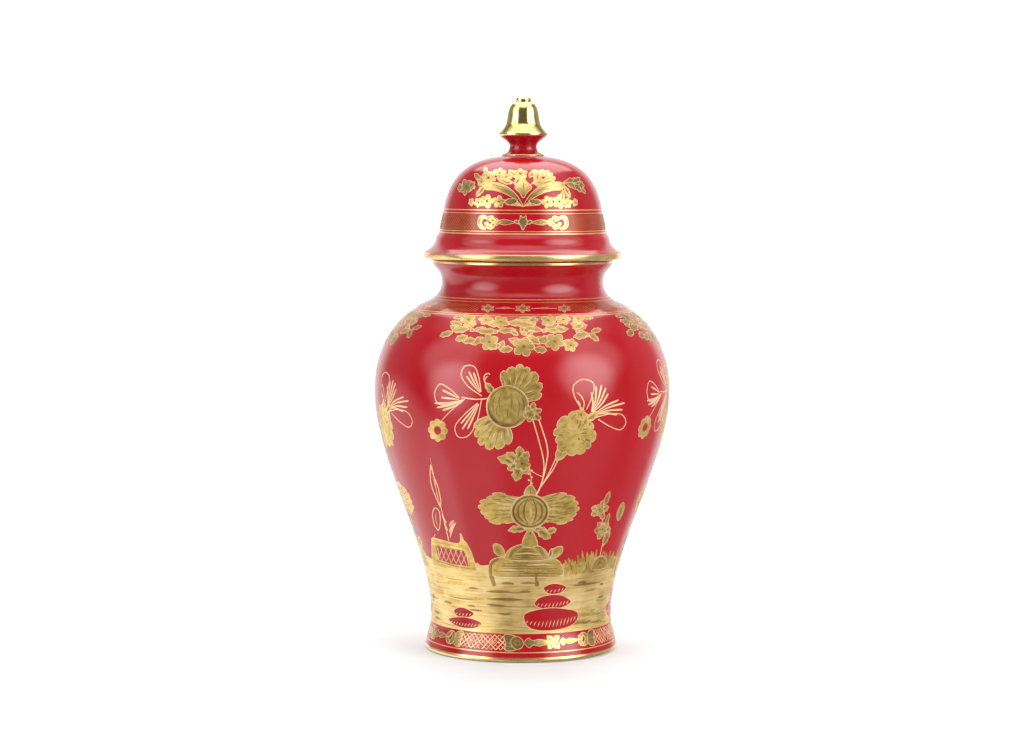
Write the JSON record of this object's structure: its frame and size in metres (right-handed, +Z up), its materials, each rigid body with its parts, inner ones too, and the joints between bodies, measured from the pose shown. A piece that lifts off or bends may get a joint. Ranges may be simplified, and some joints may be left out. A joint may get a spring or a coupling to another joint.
{
  "type": "ginger jar",
  "caption": "Covered porcelain baluster jar with a domed lid that lifts off, a bell-shaped knob, a locating collar and gilded edges.",
  "frame": {"origin": "centre of the foot ring's underside, on the surface that the jar stands on", "axes": "+Z up along the jar's axis of turning, -Y towards the viewer"},
  "size_m": [0.1662, 0.1662, 0.3108],
  "materials": {
    "red_glaze": "satin",
    "white_glaze": "gloss",
    "gilding": "polished"
  },
  "bodies": {
    "jar": {"jar_body": "red_glaze", "jar_lip_gilding": "gilding", "jar_foot_gilding": "gilding"},
    "lid": {"lid_shell": "red_glaze", "lid_collar": "white_glaze", "lid_rim_gilding": "gilding", "lid_finial": "red_glaze", "finial_gilding": "gilding"}
  },
  "joints": [
    {"name": "lid_lift", "type": "slide", "parent": "jar", "child": "lid", "axis": [0, 0, 1], "range_m": [0, 0.12]}
  ]
}
